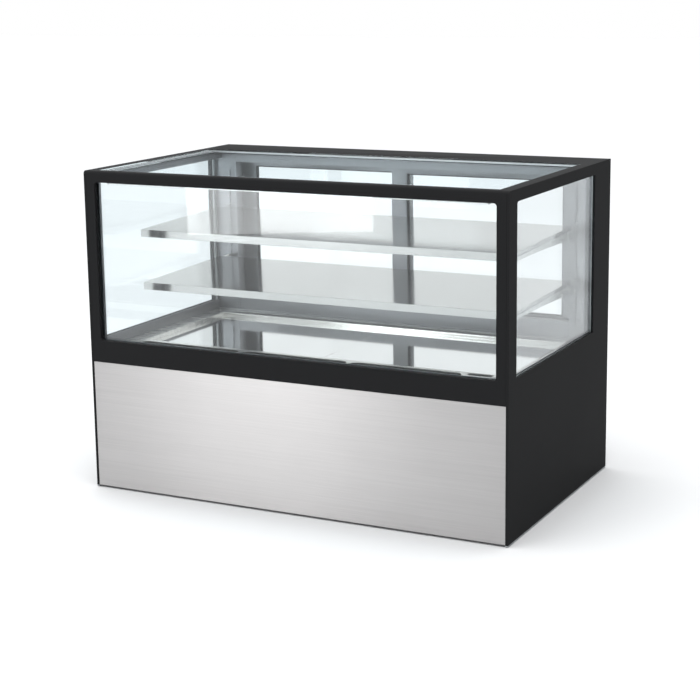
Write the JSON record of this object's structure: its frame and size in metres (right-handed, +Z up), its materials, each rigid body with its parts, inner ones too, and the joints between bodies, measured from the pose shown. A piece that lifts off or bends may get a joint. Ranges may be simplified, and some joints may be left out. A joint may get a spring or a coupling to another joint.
{
  "type": "bakery display case",
  "caption": "Square refrigerated bakery display case with a black surround, double glass, sloping polished shelves, stainless deck, brushed front panel and sliding rear doors.",
  "frame": {"origin": "on the floor under the middle of the case", "axes": "+X to the customer's right along the length, +Y from the customer to the back, +Z up"},
  "size_m": [1.2, 0.74, 0.865],
  "materials": {
    "black_coat": "satin powder coat",
    "brushed_stainless": "fine horizontal grain",
    "satin_stainless": "satin",
    "mirror_stainless": "polished",
    "anodised": "satin anodised",
    "galvanised": "galvanised",
    "tub_foam": "foam between thin skins",
    "clear_glass": "clear toughened",
    "lamp_cover": "milky",
    "coil_fins": "bare",
    "motor_steel": "satin",
    "compressor_enamel": "gloss enamel",
    "copper_tube": "bare copper",
    "black_plastic": "moulded",
    "roller_plastic": "acetal",
    "fan_plastic": "moulded",
    "button_plastic": "moulded",
    "switch_plastic": "moulded",
    "screw_steel": "plain"
  },
  "bodies": {
    "case": {"side_panel_left": "black_coat", "side_panel_right": "black_coat", "front_surround": "black_coat", "top_surround": "black_coat", "front_panel": "brushed_stainless", "base_frame": "galvanised", "base_pan": "galvanised", "levelling_feet": "black_plastic", "insulated_tub": "tub_foam", "deck_rim": "satin_stainless", "glass_sill": "black_coat", "front_glass": "clear_glass", "side_glass": "clear_glass", "top_glass": "clear_glass", "top_rails": "anodised", "inner_trim": "anodised", "rear_pillars": "anodised", "head_beam": "anodised", "rear_sill": "anodised", "door_tracks": "anodised", "shelf_brackets": "satin_stainless", "top_light": "lamp_cover", "evaporator_coil": "coil_fins", "fan_plate": "galvanised", "fan_motors": "motor_steel", "compressor": "compressor_enamel", "condenser_coil": "coil_fins", "fan_shroud": "black_coat", "refrigerant_pipes": "copper_tube", "drip_tray": "black_plastic", "electrical_box": "galvanised", "rear_grille": "black_coat", "rear_fascia": "black_coat", "control_unit": "black_plastic", "cable_gland": "black_plastic", "screws": "screw_steel"},
    "deck_plate_left": {"deck_plate_left": "mirror_stainless"},
    "deck_plate_right": {"deck_plate_right": "mirror_stainless"},
    "door_left": {"door_frame_left": "anodised", "door_glass_left": "clear_glass", "door_pull_left": "black_plastic"},
    "door_right": {"door_frame_right": "anodised", "door_glass_right": "clear_glass", "door_pull_right": "black_plastic"},
    "roller_left_outer": {"roller_left_outer": "roller_plastic"},
    "roller_left_inner": {"roller_left_inner": "roller_plastic"},
    "roller_right_outer": {"roller_right_outer": "roller_plastic"},
    "roller_right_inner": {"roller_right_inner": "roller_plastic"},
    "shelf_upper": {"shelf_upper": "mirror_stainless", "shelf_light_upper": "lamp_cover"},
    "shelf_lower": {"shelf_lower": "mirror_stainless", "shelf_light_lower": "lamp_cover"},
    "evap_fan_left": {"evap_fan_left": "fan_plastic"},
    "evap_fan_right": {"evap_fan_right": "fan_plastic"},
    "condenser_fan": {"condenser_fan": "fan_plastic"},
    "set_button": {"set_button": "button_plastic"},
    "up_button": {"up_button": "button_plastic"},
    "down_button": {"down_button": "button_plastic"},
    "power_switch": {"power_switch": "switch_plastic"},
    "light_switch": {"light_switch": "switch_plastic"}
  },
  "joints": [
    {"name": "door_left_slide", "type": "slide", "parent": "case", "child": "door_left", "axis": [1, 0, 0], "range_m": [0, 0.5]},
    {"name": "door_right_slide", "type": "slide", "parent": "case", "child": "door_right", "axis": [1, 0, 0], "range_m": [-0.5, 0]},
    {"name": "deck_plate_left_lift", "type": "slide", "parent": "case", "child": "deck_plate_left", "axis": [0, 0, 1], "range_m": [0, 0.12]},
    {"name": "deck_plate_right_lift", "type": "slide", "parent": "case", "child": "deck_plate_right", "axis": [0, 0, 1], "range_m": [0, 0.12]},
    {"name": "shelf_upper_lift", "type": "slide", "parent": "case", "child": "shelf_upper", "axis": [0, 0, 1], "range_m": [0, 0.05]},
    {"name": "shelf_lower_lift", "type": "slide", "parent": "case", "child": "shelf_lower", "axis": [0, 0, 1], "range_m": [0, 0.05]},
    {"name": "evap_fan_left_spin", "type": "hinge", "parent": "case", "child": "evap_fan_left", "pos_m": [-0.2, 0.046, 0.3145], "axis": [0, 1, 0], "continuous": true},
    {"name": "evap_fan_right_spin", "type": "hinge", "parent": "case", "child": "evap_fan_right", "pos_m": [0.2, 0.046, 0.3145], "axis": [0, 1, 0], "continuous": true},
    {"name": "condenser_fan_spin", "type": "hinge", "parent": "case", "child": "condenser_fan", "pos_m": [-0.35, 0.281, 0.139], "axis": [0, 1, 0], "continuous": true},
    {"name": "set_button_press", "type": "slide", "parent": "case", "child": "set_button", "axis": [0, -1, 0], "range_m": [0, 0.0012], "stiffness_N_per_m": 250},
    {"name": "up_button_press", "type": "slide", "parent": "case", "child": "up_button", "axis": [0, -1, 0], "range_m": [0, 0.0012], "stiffness_N_per_m": 250},
    {"name": "down_button_press", "type": "slide", "parent": "case", "child": "down_button", "axis": [0, -1, 0], "range_m": [0, 0.0012], "stiffness_N_per_m": 250},
    {"name": "power_switch_rock", "type": "hinge", "parent": "case", "child": "power_switch", "pos_m": [-0.41, 0.354, 0.328], "axis": [-1, 0, 0], "range_deg": [0, 16]},
    {"name": "light_switch_rock", "type": "hinge", "parent": "case", "child": "light_switch", "pos_m": [-0.46, 0.354, 0.328], "axis": [-1, 0, 0], "range_deg": [0, 16]},
    {"name": "roller_left_outer_roll", "type": "hinge", "parent": "door_left", "child": "roller_left_outer", "pos_m": [-0.471, 0.342, 0.4103], "axis": [0, 1, 0], "continuous": true},
    {"name": "roller_left_inner_roll", "type": "hinge", "parent": "door_left", "child": "roller_left_inner", "pos_m": [-0.037, 0.342, 0.4103], "axis": [0, 1, 0], "continuous": true},
    {"name": "roller_right_outer_roll", "type": "hinge", "parent": "door_right", "child": "roller_right_outer", "pos_m": [0.471, 0.314, 0.4103], "axis": [0, 1, 0], "continuous": true},
    {"name": "roller_right_inner_roll", "type": "hinge", "parent": "door_right", "child": "roller_right_inner", "pos_m": [0.037, 0.314, 0.4103], "axis": [0, 1, 0], "continuous": true}
  ],
  "couplings": [
    {"joint": "roller_left_outer_roll", "follows": "door_left_slide", "rad_per_m": 125},
    {"joint": "roller_left_inner_roll", "follows": "door_left_slide", "rad_per_m": 125},
    {"joint": "roller_right_outer_roll", "follows": "door_right_slide", "rad_per_m": 125},
    {"joint": "roller_right_inner_roll", "follows": "door_right_slide", "rad_per_m": 125}
  ]
}
